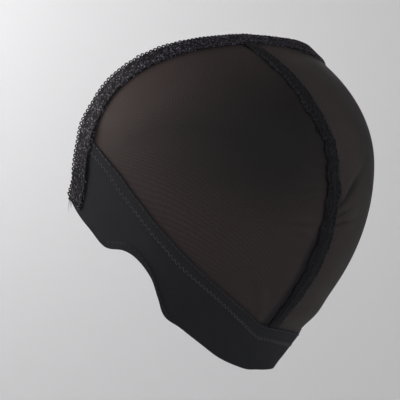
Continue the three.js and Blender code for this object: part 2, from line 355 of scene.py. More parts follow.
def grid_quads(number):
    """Quads of a grid of point numbers: columns run with the angle round the form and rows run down."""
    return np.stack([number[:-1, :-1], number[1:, :-1], number[1:, 1:], number[:-1, 1:]], -1).reshape(-1, 4)


def sheet_faces(columns, rows):
    return grid_quads(np.arange(columns * rows).reshape(columns, rows)).tolist()


def wall_faces(columns, rows):
    """Closed wall of cloth: an outer grid, an inner grid and the rim between them."""
    outer = np.arange(columns * rows).reshape(columns, rows)
    inner = outer + columns * rows
    rims = [
        np.stack([inner[:, 0], outer[:, 0]], -1),
        np.stack([outer[:, -1], inner[:, -1]], -1),
        np.stack([outer[0], inner[0]], -1)[::-1],
        np.stack([inner[-1], outer[-1]], -1)[::-1],
    ]
    quads = [grid_quads(outer), grid_quads(inner)[:, ::-1], *(grid_quads(rim) for rim in rims)]
    return np.vstack(quads).tolist()


def wall_piece(name, outer, inner, place, material):
    points = np.stack([outer, inner])
    return mesh_piece(name, points, wall_faces(*outer.shape[:2]), material, np.stack([place, place]))


def thread_piece(name, bundles, material, sides=THREAD_SIDES):
    """Closed round threads joined to one piece. A bundle is (points, normals, radii) of equal threads."""
    turn = np.linspace(0, 2 * math.pi, sides, endpoint=False)
    all_points, faces, first = [], [], 0
    for points, normals, radii in bundles:
        count, steps = points.shape[:2]
        along = unit(np.gradient(points, axis=1))
        across = unit(np.cross(along, normals))
        up = np.cross(across, along)
        ring = np.cos(turn)[:, None] * across[..., None, :] + np.sin(turn)[:, None] * up[..., None, :]
        all_points.append((points[..., None, :] + ring * np.asarray(radii)[:, None, None]).reshape(-1, 3))
        number = first + np.arange(count * steps * sides).reshape(count, steps, sides)
        after = np.roll(number, -1, axis=2)
        quads = np.stack([number[:, :-1], after[:, :-1], after[:, 1:], number[:, 1:]], -1)
        faces += quads.reshape(-1, 4)[:, ::-1].tolist()
        faces += number[:, 0].tolist() + number[:, -1, ::-1].tolist()
        first += count * steps * sides
    return mesh_piece(name, np.vstack(all_points), faces, material)


# Materials

def linear(colour):
    """Linear RGBA of an sRGB hex colour."""
    shares = [int(colour[k : k + 2], 16) / 255 for k in (1, 3, 5)]
    return (*(s / 12.92 if s <= 0.04045 else ((s + 0.055) / 1.055) ** 2.4 for s in shares), 1)


WAVE_SCALE = 0.314  # gives Blender's wave texture one wave in each unit of length


def new_material(name):
    material = bpy.data.materials.new(name)
    material.use_nodes = True
    material.node_tree.nodes.clear()
    return material


def add(material, kind, inputs=(), **settings):
    """Adds a node: settings are its properties, inputs are values or sockets to link."""
    made = material.node_tree.nodes.new(kind)
    for name, value in settings.items():
        setattr(made, name, value)
    for key, value in dict(inputs).items():
        if isinstance(value, bpy.types.NodeSocket):
            material.node_tree.links.new(value, made.inputs[key])
        else:
            made.inputs[key].default_value = value
    return made


EVEN_PULL = 0.5  # pull on most of the net, where 1 is the hardest


def warp_knit_nylon_mesh():
    """Sheer stretch net of nylon filament: soft black, clearer where it is pulled open, and with painted
    light in its colour: brighter and browner with the pull, a painted sheen on the right half, painted shade
    in fold grooves.
    """
    net_pitch = 1.3  # mm; the real net is about a third of that, too fine to show here
    clearest = 0.01  # share of light that passes where the net is pulled most
    mottle_size = 14  # mm
    m = new_material("warp_knit_nylon_mesh")
    place = add(m, "ShaderNodeUVMap", uv_map="Cloth").outputs["UV"]
    net_place = add(m, "ShaderNodeMapping", {
        "Vector": place, "Rotation": (0, 0, math.radians(45)), "Scale": (1 / net_pitch,) * 3,
    }).outputs["Vector"]
    cell = add(m, "ShaderNodeTexVoronoi", {
        "Vector": net_place, "Scale": 1, "Randomness": 0.25,
    }, voronoi_dimensions="2D").outputs["Distance"]
    hole = add(m, "ShaderNodeMapRange", {
        "Value": cell, "From Min": 0.5, "From Max": 0.1, "To Min": 0.75, "To Max": 1.4,
    }, interpolation_type="SMOOTHSTEP").outputs["Result"]
    pull_and_painted_light = add(m, "ShaderNodeAttribute", attribute_name="pull_and_painted_light").outputs["Fac"]
    clear = add(m, "ShaderNodeMapRange", {
        "Value": pull_and_painted_light, "From Min": EVEN_PULL, "To Max": -clearest,
    }).outputs["Result"]
    alpha = add(m, "ShaderNodeMath", {0: hole, 1: clear, 2: 1}, operation="MULTIPLY_ADD").outputs[0]
    mottle = add(m, "ShaderNodeTexNoise", {
        "Vector": place, "Scale": 1 / mottle_size, "Detail": 3, "Roughness": 0.55,
    }).outputs["Fac"]
    # painted shade: the net's darkest colour, where the pull is least
    painted_shade = add(m, "ShaderNodeMix", {
        "Factor": mottle, 6: linear("#1d1c1d"), 7: linear("#222020"),
    }, data_type="RGBA").outputs[2]
    # painted sheen: the right half of the net drawn lighter
    painted_sheen = add(m, "ShaderNodeAttribute", attribute_name="painted_sheen").outputs["Fac"]
    painted_shade_and_sheen = add(m, "ShaderNodeMix", {
        "Factor": painted_sheen, 6: painted_shade, 7: linear("#3d3735"),
    }, data_type="RGBA").outputs[2]
    # painted light: the colour brightens and browns as the pull grows towards the front
    even_share = add(m, "ShaderNodeMapRange", {"Value": pull_and_painted_light, "From Max": EVEN_PULL}).outputs["Result"]
    even = add(m, "ShaderNodeMix", {
        "Factor": even_share, 6: painted_shade_and_sheen, 7: linear("#3d3535"),
    }, data_type="RGBA").outputs[2]
    hard_share = add(m, "ShaderNodeMapRange", {"Value": pull_and_painted_light, "From Min": EVEN_PULL}).outputs["Result"]
    single = add(m, "ShaderNodeMix", {
        "Factor": hard_share, 6: even, 7: linear("#433733"),
    }, data_type="RGBA").outputs[2]
    # doubled net by the seam, and painted shade in the grooves of folds
    doubled_and_groove_shade = add(m, "ShaderNodeAttribute", attribute_name="doubled_and_groove_shade").outputs["Fac"]
    filament = add(m, "ShaderNodeMix", {
        "Factor": doubled_and_groove_shade, 6: single, 7: linear("#222125"),
    }, data_type="RGBA").outputs[2]
    colour = add(m, "ShaderNodeMix", {
        "Factor": 0.5, 6: filament, 7: cell,
    }, data_type="RGBA", blend_type="MULTIPLY").outputs[2]
    rough = add(m, "ShaderNodeMapRange", {"Value": mottle, "To Min": 0.55, "To Max": 0.75}).outputs["Result"]
    bump = add(m, "ShaderNodeBump", {
        "Height": cell, "Strength": 0.15, "Distance": 0.1 * MM,
    }).outputs["Normal"]
    shader = add(m, "ShaderNodeBsdfPrincipled", {
        "Base Color": colour, "Roughness": rough, "Normal": bump, "Alpha": alpha,
        "IOR": 1.53, "Specular IOR Level": 0.12,
        "Sheen Weight": 0.02, "Sheen Roughness": 0.45, "Sheen Tint": linear("#cfbfb7"),
    })
    add(m, "ShaderNodeOutputMaterial", {"Surface": shader.outputs["BSDF"]})
    return m


def cotton_elastane_jersey():
    """Opaque knitted stretch jersey: matt bluish black, fine upright wales, a faint dusty bloom."""
    wale_pitch = 1.1  # mm; real wales are about 0.6 mm, drawn wider so that they show
    bloom_size = 9  # mm
    m = new_material("cotton_elastane_jersey")
    place = add(m, "ShaderNodeUVMap", uv_map="Cloth").outputs["UV"]
    wale_place = add(m, "ShaderNodeMapping", {
        "Vector": place, "Scale": (1 / wale_pitch,) * 3,
    }).outputs["Vector"]
    wale = add(m, "ShaderNodeTexWave", {
        "Vector": wale_place, "Scale": WAVE_SCALE, "Distortion": 1.2, "Detail": 2, "Detail Scale": 1.5,
    }, bands_direction="X").outputs["Fac"]
    bloom = add(m, "ShaderNodeTexNoise", {
        "Vector": place, "Scale": 1 / bloom_size, "Detail": 4, "Roughness": 0.6,
    }).outputs["Fac"]
    yarn = add(m, "ShaderNodeMix", {
        "Factor": bloom, 6: linear("#222326"), 7: linear("#2d2e33"),
    }, data_type="RGBA").outputs[2]
    colour = add(m, "ShaderNodeMix", {
        "Factor": wale, 6: linear("#1f1f22"), 7: yarn,
    }, data_type="RGBA").outputs[2]
    rough = add(m, "ShaderNodeMapRange", {"Value": bloom, "To Min": 0.78, "To Max": 0.95}).outputs["Result"]
    bump = add(m, "ShaderNodeBump", {
        "Height": wale, "Strength": 0.3, "Distance": 0.12 * MM,
    }).outputs["Normal"]
    shader = add(m, "ShaderNodeBsdfPrincipled", {
        "Base Color": colour, "Roughness": rough, "Normal": bump, "IOR": 1.5, "Specular IOR Level": 0.12,
        "Sheen Weight": 0.03, "Sheen Roughness": 0.5, "Sheen Tint": linear("#c4c8d2"),
    })
    add(m, "ShaderNodeOutputMaterial", {"Surface": shader.outputs["BSDF"]})
    return m


def crochet_lace_elastic():
    """Crocheted rubber-core lace elastic: bluish black and grainy, with painted glints on knots picked at
    random.
    """
    knot = 0.6  # mm
    painted_glint_power = 8  # the higher, the fewer knots get a painted glint
    m = new_material("crochet_lace_elastic")
    place = add(m, "ShaderNodeTexCoord").outputs["Object"]
    knots = add(m, "ShaderNodeTexVoronoi", {"Vector": place, "Scale": 1 / (knot * MM)})
    knot_share = add(m, "ShaderNodeSeparateColor", {"Color": knots.outputs["Color"]}).outputs["Red"]
    painted_glint = add(m, "ShaderNodeMath", {0: knot_share, 1: painted_glint_power}, operation="POWER").outputs[0]
    # painted glints: a few knots drawn light in the base colour
    colour = add(m, "ShaderNodeMix", {
        "Factor": painted_glint, 6: linear("#010102"), 7: linear("#6b6477"),
    }, data_type="RGBA").outputs[2]
    rough = add(m, "ShaderNodeMapRange", {"Value": knot_share, "To Min": 0.8, "To Max": 0.45}).outputs["Result"]
    bump = add(m, "ShaderNodeBump", {
        "Height": knots.outputs["Distance"], "Strength": 0.5, "Distance": 0.2 * MM,
    }, invert=True).outputs["Normal"]
    shader = add(m, "ShaderNodeBsdfPrincipled", {
        "Base Color": colour, "Roughness": rough, "Normal": bump, "IOR": 1.53, "Specular IOR Level": 0.2,
        "Sheen Weight": 0.02, "Sheen Roughness": 0.4, "Sheen Tint": linear("#c9c9d6"),
    })
    add(m, "ShaderNodeOutputMaterial", {"Surface": shader.outputs["BSDF"]})
    return m


def woven_seam_tape():
    """Narrow woven polyester tape: deep bluish black, a diagonal twill that dulls the light."""
    twill_pitch = 1.2  # mm; real twill is about 0.5 mm, drawn wider so that it shows
    wear_size = 5  # mm
    m = new_material("woven_seam_tape")
    place = add(m, "ShaderNodeUVMap", uv_map="Cloth").outputs["UV"]
    twill_place = add(m, "ShaderNodeMapping", {
        "Vector": place, "Rotation": (0, 0, math.radians(35)), "Scale": (1 / twill_pitch,) * 3,
    }).outputs["Vector"]
    twill = add(m, "ShaderNodeTexWave", {
        "Vector": twill_place, "Scale": WAVE_SCALE, "Distortion": 1.5, "Detail": 2,
    }).outputs["Fac"]
    wear = add(m, "ShaderNodeTexNoise", {
        "Vector": place, "Scale": 1 / wear_size, "Detail": 3,
    }).outputs["Fac"]
    yarn = add(m, "ShaderNodeMix", {
        "Factor": wear, 6: linear("#131315"), 7: linear("#27282c"),
    }, data_type="RGBA").outputs[2]
    colour = add(m, "ShaderNodeMix", {
        "Factor": twill, 6: linear("#0b0b0d"), 7: yarn,
    }, data_type="RGBA").outputs[2]
    rough = add(m, "ShaderNodeMapRange", {"Value": wear, "To Min": 0.7, "To Max": 0.9}).outputs["Result"]
    bump = add(m, "ShaderNodeBump", {
        "Height": twill, "Strength": 0.4, "Distance": 0.15 * MM,
    }).outputs["Normal"]
    shader = add(m, "ShaderNodeBsdfPrincipled", {
        "Base Color": colour, "Roughness": rough, "Normal": bump, "IOR": 1.55, "Specular IOR Level": 0.12,
        "Sheen Weight": 0.02, "Sheen Roughness": 0.5, "Sheen Tint": linear("#c4c8d2"),
    })
    add(m, "ShaderNodeOutputMaterial", {"Surface": shader.outputs["BSDF"]})
    return m


def spun_sewing_thread(name, dark, light, gloss):
    """Spun polyester sewing thread: black with a slight gloss that breaks up along its twist."""
    twist = 0.8  # mm
    m = new_material(name)
    place = add(m, "ShaderNodeTexCoord").outputs["Object"]
    ply = add(m, "ShaderNodeTexNoise", {
        "Vector": place, "Scale": 1 / (twist * MM), "Detail": 2,
    }).outputs["Fac"]
    colour = add(m, "ShaderNodeMix", {
        "Factor": ply, 6: linear(dark), 7: linear(light),
    }, data_type="RGBA").outputs[2]
    rough = add(m, "ShaderNodeMapRange", {"Value": ply, "To Min": 0.4, "To Max": 0.65}).outputs["Result"]
    shader = add(m, "ShaderNodeBsdfPrincipled", {
        "Base Color": colour, "Roughness": rough, "IOR": 1.57, "Specular IOR Level": gloss,
    })
    add(m, "ShaderNodeOutputMaterial", {"Surface": shader.outputs["BSDF"]})
    return m


def matt_studio_paper():
    """Seamless pale grey background paper: flat, matt, with the faintest cloudiness."""
    clouds_per_metre = 1.2
    m = new_material("matt_studio_paper")
    place = add(m, "ShaderNodeTexCoord").outputs["Object"]
    cloud = add(m, "ShaderNodeTexNoise", {
        "Vector": place, "Scale": clouds_per_metre, "Detail": 2,
    }).outputs["Fac"]
    colour = add(m, "ShaderNodeMix", {
        "Factor": cloud, 6: linear("#cfcfd1"), 7: linear("#d5d5d6"),
    }, data_type="RGBA").outputs[2]
    shader = add(m, "ShaderNodeBsdfPrincipled", {
        "Base Color": colour, "Roughness": 0.95, "Specular IOR Level": 0.1,
    })
    add(m, "ShaderNodeOutputMaterial", {"Surface": shader.outputs["BSDF"]})
    return m


MESH_CLOTH = warp_knit_nylon_mesh()
JERSEY = cotton_elastane_jersey()
LACE = crochet_lace_elastic()
TAPE = woven_seam_tape()
THREAD = spun_sewing_thread("spun_sewing_thread", "#121214", "#34353a", 0.25)
# the lighter thread also serves as a painted highlight along the band's edge at the temples
TOPSTITCH_AND_HIGHLIGHT_THREAD = spun_sewing_thread("glossy_topstitch_and_highlight_thread", "#1d1e20", "#46474c", 0.3)

# Sheer mesh halves

PANEL_COLUMNS = 170
PANEL_ROWS = 210
PUCKER_PITCH = 7.5  # along the seam
PUCKER_REACH = 7.0  # out from the seam
PUCKER_RISE = 0.35
PUCKER_DRIFT, PUCKER_DRIFT_LENGTH = 1.4, 37  # how their spacing wanders, and over what length
PUCKER_FADE, PUCKER_FADE_LENGTH = 0.35, 53  # what share of their rise comes and goes, and over what length
PUCKER_STARTS = (1, 2, 1.7)  # radians by which drift, ripple and fade are out of step on each half
SEAM_ALLOWANCE = 5  # turned-in cloth beside the seam, where the net is doubled
ALLOWANCE_FADE = (-2, 1)  # about its edge
SPREAD_ALLOWANCE = 4  # further reach of the left one where it lies flat, below these heights
SPREAD_HEIGHTS = (-44, -18)
GROOVE_SHADE = 0.85  # painted shade in the groove of a fold: how far the net is darkened there, between these depths
GROOVE_DEPTHS = (0.1, 1.0)

# How hard the net is pulled, a value that also paints light and shade into the net's colour: most behind the
# elastic, where the front is drawn brighter as painted light, and least in a painted shade spot on each side
# of the crown
FRONT_PULL_AND_LIGHT = (0.46, 0.94)  # by the seam, by the temple
FRONT_PULL_AND_LIGHT_GROWTH = (20, 72)  # distances from the seam between which it grows
FRONT_PULL_AND_LIGHT_REACH = 67
RIGHT_EASE = 0.5  # share of that pull, and of its painted light, on the right half
PAINTED_SHADE_SPOT = (28, 22)  # distance from the seam, height
PAINTED_SHADE_REACH = (12, 58)

# Painted sheen that draws the net of the right half lighter: in full beside the seam,
# and fading to this share between two distances from the seam
PAINTED_SHEEN_AT_SIDE = 0.2
PAINTED_SHEEN_FADE = (14, 40)

# Drag folds that the seam pulls into the mesh:
# side, distance from the seam and height of the middle, reach, slope, crest height, crest width
DRAG_FOLDS = [
    (-1, 7, -13.5, 9, 0.9, 1.5, 1.3),
    (-1, 13, -11.5, 26, 0.93, -1.5, 2.1),
    (-1, 8.5, -19, 11, 0.6, 1.0, 1.4),
    (-1, 9.5, -21.3, 14, 0.4, -0.9, 1.0),
    (-1, 10, -23.5, 18, 0.15, 1.3, 1.2),
    (-1, 10, -25.8, 16, 0.1, -0.9, 1.0),
    (-1, 10, -28, 18, 0.05, 1.1, 1.2),
    (-1, 9, -33, 12, -0.15, 0.7, 1.4),
    (-1, 42, -74, 60, 0, 1.2, 6.0),
    (1, 13, -7, 13, -0.1, 0.6, 1.5),
    (1, 13, -12, 13, -0.15, 0.7, 1.5),
    (1, 14, -23, 15, 0.1, 0.9, 1.5),
    (1, 13, -28, 12, 0.2, 0.7, 1.5),
    (1, 20, -58, 20, 1.6, 0.6, 1.8),
    (1, 25, -54, 16, 1.3, 0.55, 1.7),
    (1, 15, -66, 12, 1.9, 0.45, 1.6),
]


def drag_folds(side, from_seam, height):
    """Height that the drag folds add to one half of the mesh."""
    lift = np.zeros_like(height)
    for fold_side, middle_from_seam, middle_height, reach, slope, crest, width in DRAG_FOLDS:
        if fold_side == side:
            out, rise = from_seam - middle_from_seam, height - middle_height
            run = math.hypot(1, slope)
            along, off = (out + rise * slope) / run, (rise - out * slope) / run
            lift += crest * np.exp(-((off / width) ** 2) - (2 * along / reach) ** 2)
    return lift


def seam_puckers(side, from_seam, height):
    """Small gathers beside the seam, out of step on the two halves."""
    drift_start, ripple_start, fade_start = (start * side for start in PUCKER_STARTS)
    drift = PUCKER_DRIFT * np.sin(2 * math.pi * height / PUCKER_DRIFT_LENGTH + drift_start)
    ripple = np.sin(2 * math.pi * height / PUCKER_PITCH + drift + ripple_start)
    fade = np.sin(2 * math.pi * height / PUCKER_FADE_LENGTH + fade_start)
    strength = 1 - PUCKER_FADE + PUCKER_FADE * fade
    return PUCKER_RISE * strength * ripple * np.exp(-from_seam / PUCKER_REACH)


def net_pull_and_painted_light(side, from_seam, height, behind_elastic):
    """How hard the net is pulled, from 0 to 1; the same value also sets the net's painted light and shade."""
    at_seam, at_temple = FRONT_PULL_AND_LIGHT
    front = at_seam + (at_temple - at_seam) * smooth(from_seam, *FRONT_PULL_AND_LIGHT_GROWTH)
    front = front * (1 - smooth(behind_elastic, 0, FRONT_PULL_AND_LIGHT_REACH))
    # painted shade: the pull, and so the net's colour, drops towards a spot on each side of the crown
    from_shade_spot = np.hypot(from_seam - PAINTED_SHADE_SPOT[0], height - PAINTED_SHADE_SPOT[1])
    even = EVEN_PULL * smooth(from_shade_spot, *PAINTED_SHADE_REACH)
    return np.maximum(front, even) * (RIGHT_EASE if side < 0 else 1)


def mesh_panel(name, side):
    """One half of the net, from the seam to its front corner and from the elastic to the band."""
    out = np.linspace(0, 1, PANEL_COLUMNS)[:, None]
    down = np.linspace(0, 1, PANEL_ROWS)[None, :]
    top = behind_front_edge(side * out * PANEL_LAST_EDGE, MESH_INSET)
    low = band_spot(side * out * PANEL_LAST_STATION, BAND_LAP)
    spot = between(top, low, down)
    half_breadth = half_breadth_at(spot[..., 1])
    height = form_point(spot)[..., 2]
    seam = seam_lean(height) / half_breadth
    turn = side * (spot[..., 0] + seam * (1 - out) ** 2 - seam)
    spot[..., 0] = seam + side * np.maximum(turn, CENTRE_GAP / half_breadth)
    flat = form_point(spot)
    from_seam = side * (flat[..., 0] - seam_lean(height))
    folds = drag_folds(side, from_seam, height)
    lift = MESH_LIFT + seam_puckers(side, from_seam, height) + folds
    points = cloth_point(spot, lift)
    place = np.stack([run_length(flat, 0), run_length(flat, 1)], -1)
    # painted sheen on the right half of the net
    painted_sheen = (1 - (1 - PAINTED_SHEEN_AT_SIDE) * smooth(from_seam, *PAINTED_SHEEN_FADE)) * (side < 0)
    allowance = SEAM_ALLOWANCE + (side > 0) * SPREAD_ALLOWANCE * (1 - smooth(height, *SPREAD_HEIGHTS))
    turned_in = 1 - smooth(from_seam - allowance, *ALLOWANCE_FADE)
    # doubled net by the seam, and painted shade in the grooves of folds
    doubled_and_groove_shade = np.maximum(turned_in, GROOVE_SHADE * smooth(-folds, *GROOVE_DEPTHS))
    # the pull also sets the painted light and shade in the net's colour
    pull_and_painted_light = net_pull_and_painted_light(side, from_seam, height, run_length(flat, 1))
    values = {"pull_and_painted_light": pull_and_painted_light, "doubled_and_groove_shade": doubled_and_groove_shade, "painted_sheen": painted_sheen}
    if side < 0:
        points, place = points[::-1], place[::-1]
        values = {value_name: value[::-1] for value_name, value in values.items()}
    return mesh_piece(name, points, sheet_faces(PANEL_COLUMNS, PANEL_ROWS), MESH_CLOTH, place, values)


panel_left = mesh_panel("mesh_panel_left", 1)
panel_right = mesh_panel("mesh_panel_right", -1)

# Sewing

STITCH_PITCH = 2.6
ZIGZAG_PITCH = 1.3
STITCH_SHARE = 0.78  # of the pitch that shows as thread
STITCH_START = 0.1  # and where in the pitch that begins
STITCH_RADIUS = 0.25  # thicker than real thread, so that it shows
STITCH_ARCH = np.array([-0.2, 0.12, 0.2, 0.12, -0.2])
STITCH_TAPER = np.array([0.5, 0.9, 1, 0.9, 0.5])


def sewn_row(surface, low, high, across, zigzag=0.0, radius=STITCH_RADIUS):
    """One row of stitches on a cloth whose surface gives points and normals by place along and across."""
    fine = np.linspace(low, high, FINE_STEPS)
    length = run_length(surface(fine, np.full_like(fine, across))[0])
    pitch = ZIGZAG_PITCH if zigzag else STITCH_PITCH
    count = int(length[-1] // pitch)
    share = np.linspace(0, 1, len(STITCH_ARCH))
    at = (np.arange(count)[:, None] + STITCH_START + share * STITCH_SHARE) * pitch
    swing = (share - 0.5) * zigzag * np.where(np.arange(count) % 2, 1, -1)[:, None]
    points, normals = surface(np.interp(at, length, fine), across + swing)
    return points + normals * STITCH_ARCH[:, None], normals, radius * STITCH_TAPER


# Opaque stretch band

BAND_COLUMNS_PER_STATION = 18
BAND_ROWS = 60
EDGE_STITCH = 0.6  # distances below the upper edge
ZIGZAG_STITCH = 6.0
ZIGZAG_WIDTH = 2.2
TEMPLE_HIGHLIGHT_ROW = 11.3  # station from which the edge row at each temple is drawn in the lighter, thicker glossy thread as a painted highlight
TEMPLE_HIGHLIGHT_RADIUS = 0.32
HEM_STITCH_RADIUS = 0.18
HEM_STITCH = 4.0  # distance above the lower edge in the ear notch
STITCH_DIP = 0.2
STITCH_DIP_WIDTH = 0.7
EDGE_ROUND = 0.9  # distance over which a cloth edge thins
EDGE_THINNEST = 0.2  # share of the thickness left at a rounded edge
EDGE_CROWDING = 0.5  # how far the band's rows crowd towards its edges
HEM_STEP = (-0.3, 0.5)  # about the hem's inner edge

# Soft folds across the band: station and share of the way down, reach along and down, height
BAND_FOLDS = [
    (2.2, 0.45, 0.55, 0.5, 0.35),
    (3.6, 0.6, 0.5, 0.45, -0.3),
    (-2.6, 0.5, 0.6, 0.5, 0.35),
    (0.6, 0.55, 0.5, 0.4, 0.3),
    (8.2, 0.5, 0.7, 0.5, 0.25),
    (-8.6, 0.5, 0.7, 0.5, 0.25),
]


def dip(distance, line):
    """Groove that a line of stitches pulls into the band."""
    return STITCH_DIP * np.exp(-(((distance - line) / STITCH_DIP_WIDTH) ** 2))


def band_lift(station, distance):
    """Height of the band's outer face off the form."""
    length = station_length(station)
    above_low = length - distance
    lift = LAP_LIFT * on_mesh_lap(distance) + BAND_THICK
    lift = lift + HEM_EXTRA * in_notch(station) * (1 - smooth(above_low - HEM_WIDTH, *HEM_STEP))
    lift = lift - in_notch(station) * dip(above_low, HEM_STITCH)
    for line in (EDGE_STITCH, ZIGZAG_STITCH):
        lift = lift - dip(distance, line)
    for fold_station, down, along, across, height in BAND_FOLDS:
        reach = ((station - fold_station) / along) ** 2 + ((distance / length - down) / across) ** 2
        lift = lift + height * np.exp(-reach)
    return lift


def band_surface(station, distance):
    spot = band_spot(station, distance)
    return cloth_point(spot, band_lift(station, distance)), form_normal(spot)


def edge_round(distance, width):
    """Share of full thickness near a rounded cloth edge."""
    near = np.clip(1 - distance / width, 0, 1)
    return np.sqrt(np.maximum(1 - near**2, EDGE_THINNEST**2))


def stretch_band():
    columns = 2 * LAST_STATION * BAND_COLUMNS_PER_STATION + 1
    station = np.linspace(-LAST_STATION, LAST_STATION, columns)[:, None]
    length = station_length(station)
    even = np.linspace(0, 1, BAND_ROWS)
    crowded = (1 - np.cos(math.pi * even)) / 2
    distance = length * (EDGE_CROWDING * crowded + (1 - EDGE_CROWDING) * even)
    station = np.broadcast_to(station, distance.shape)
    spot = band_spot(station, distance)
    base = LAP_LIFT * on_mesh_lap(distance)
    body = band_lift(station, distance) - base
    body = body * edge_round(distance, EDGE_ROUND) * edge_round(length - distance, EDGE_ROUND)
    place = np.stack([run_length(form_point(spot), 0), distance], -1)
    outer, inner = cloth_point(spot, base + body), cloth_point(spot, base)
    return wall_piece("stretch_band", outer, inner, place, JERSEY)


band = stretch_band()


def notch_surface(station, above_low):
    return band_surface(station, station_length(station) - above_low)


def on_both_sides(inner, outer):
    """Spans of stations on the right half and the left half."""
    return (-outer, -inner), (inner, outer)


edge_row = sewn_row(band_surface, -TEMPLE_HIGHLIGHT_ROW, TEMPLE_HIGHLIGHT_ROW, EDGE_STITCH)
# painted highlight: the edge row at each temple in the lighter, thicker thread
temple_highlight_rows = [
    sewn_row(band_surface, low, high, EDGE_STITCH, radius=TEMPLE_HIGHLIGHT_RADIUS)
    for low, high in on_both_sides(TEMPLE_HIGHLIGHT_ROW, LAST_STATION)
]
zigzag_row = sewn_row(band_surface, -LAST_STATION, LAST_STATION, ZIGZAG_STITCH, ZIGZAG_WIDTH)
hem_rows = [
    sewn_row(notch_surface, low, high, HEM_STITCH, radius=HEM_STITCH_RADIUS)
    for low, high in on_both_sides(NOTCH_BACK, NOTCH_FRONT)
]
band_sewing = thread_piece("band_hem_stitching", [edge_row, *hem_rows], THREAD)
# zigzag row, and the temple rows that paint a highlight
band_zigzag_and_highlight = thread_piece("band_zigzag_and_highlight_stitching", [zigzag_row, *temple_highlight_rows], TOPSTITCH_AND_HIGHLIGHT_THREAD)

# Seam tape

TAPE_LENGTH = 163  # from the elastic to the band
TAPE_COLUMNS = 29
TAPE_ROWS = 420
TAPE_WANDER, TAPE_WANDER_RUN = 0.5, 7  # how far the seam pulls it sideways, and over what run
TAPE_END_HOLD = 0.3  # how soon its edge waves fade at the two ends
TAPE_STITCH_RADIUS = 0.15
TAPE_STITCH_LINES = (-0.62, 0.62)  # shares across it
TAPE_STITCH_ENDS = (0.01, 0.99)  # shares of the way down
TAPE_CREASE = 0.22  # lengthwise creases
CREASES = 1.3  # waves of them in each half of the width
CREASE_BEND, CREASE_BEND_RUN = 0.9, 9  # how far they bend sideways, and over what run
CREASE_RUN = 13  # over what run they come and go
TAPE_RIPPLE = 0.25  # puckers across it
RIPPLE_LENGTH = 5.5
RIPPLE_SLANT = 2.2
TAPE_LUMP = 0.2  # lumps where the seam below it is gathered
TAPE_LUMP_LENGTH = 3.2
LUMP_COUNT = 9  # waves that add up to them
LUMP_WAVES = chance.normal(0, 2 * math.pi / TAPE_LUMP_LENGTH, (LUMP_COUNT, 2))
LUMP_STARTS = chance.uniform(0, 2 * math.pi, LUMP_COUNT)
TAPE_EDGE_HOLD = 0.8  # share of the relief that the stitched edges take away

# Waves of the tape's edges: length, depth; how their spacing drifts, and how the two edges differ
EDGE_WAVES = [(2.9, 0.2), (5.5, 0.35), (13, 0.55)]
EDGE_DRIFT, EDGE_DRIFT_RUN = 1.3, 17
EDGE_OFFSET = 1.2

# Places where the seam pulls the tape's edge out: share of the way down, side, how far, length
TAPE_BULGES = [
    (0.615, -1, 3.2, 3.5),
    (0.665, -1, -1.0, 5),
    (0.5, -1, 0.5, 9),
    (0.31, 1, 0.8, 10),
    (0.8, 1, 0.7, 8),
]


def tape_width(down):
    return TAPE_WIDTH + TAPE_SPREAD * (smooth(down, *TAPE_SPREAD_FROM) - smooth(down, *TAPE_SPREAD_TO))


def tape_spot(down, across):
    """Spot on the tape: share of the way from the elastic to the band, and share across from -1 to 1."""
    along = down * TAPE_LENGTH
    between_ends = np.sin(down * math.pi)
    drift = EDGE_DRIFT * np.sin(along / EDGE_DRIFT_RUN)
    edge = sum(
        depth * np.sin(2 * math.pi * along / length + drift + EDGE_OFFSET * np.sign(across))
        for length, depth in EDGE_WAVES
    )
    for place, side, reach, length in TAPE_BULGES:
        bulge = reach * np.exp(-(((along - place * TAPE_LENGTH) / length) ** 2))
        edge = edge + (np.sign(across) == side) * bulge
    wander = TAPE_WANDER * np.sin(along / TAPE_WANDER_RUN) * between_ends
    half_width = tape_width(down) / 2 + edge * np.abs(across) * between_ends**TAPE_END_HOLD
    from_seam = across * half_width + wander

    def end_latitude(spot_of):
        """Latitude where the tape meets a line, which is given as a function from row to spot."""
        x = from_seam + seam_lean(form_point(spot_of(np.zeros(1)))[0, 2])
        return spot_of(x / form_point(spot_of(np.ones(1)))[0, 0])[..., 1]

    top = end_latitude(lambda row: behind_front_edge(row, ELASTIC_WIDTH + LAYER_GAP))
    low = end_latitude(lambda station: band_spot(station, np.full_like(station, -LAYER_GAP)))
    latitude = top + (low - top) * down
    half_breadth = half_breadth_at(latitude)
    height = form_point(np.stack([np.zeros_like(latitude), latitude], -1))[..., 2]
    return np.stack([np.arcsin((from_seam + seam_lean(height)) / half_breadth), latitude], -1)


def tape_lift(down, across):
    """Height of the tape's outer face: it rides on the puckered seam."""
    along = down * TAPE_LENGTH
    seam_ridge = PUCKER_RISE * np.exp(-np.abs(across) * TAPE_WIDTH / 2 / PUCKER_REACH)
    crease_bend = CREASE_BEND * np.sin(along / CREASE_BEND_RUN)
    crease = TAPE_CREASE * np.cos(2 * math.pi * CREASES * across + crease_bend) * np.sin(along / CREASE_RUN)
    slanted = 2 * math.pi * along / RIPPLE_LENGTH + RIPPLE_SLANT * across
    ripple = TAPE_RIPPLE * np.sin(slanted) * np.abs(across)
    sideways = across * TAPE_WIDTH / 2
    lumps = TAPE_LUMP * sum(
        np.sin(wave[0] * along + wave[1] * sideways + start) for wave, start in zip(LUMP_WAVES, LUMP_STARTS)
    ) / math.sqrt(len(LUMP_WAVES))
    free = np.sqrt(np.sin(down * math.pi)) * (1 - TAPE_EDGE_HOLD * np.abs(across) ** 3)
    relief = (crease + ripple + lumps + TAPE_RIPPLE + TAPE_LUMP + TAPE_CREASE) * free
    return MESH_LIFT + seam_ridge + TAPE_GAP + TAPE_THICK + relief


def tape_surface(down, across):
    spot = tape_spot(down, across)
    return cloth_point(spot, tape_lift(down, across)), form_normal(spot)


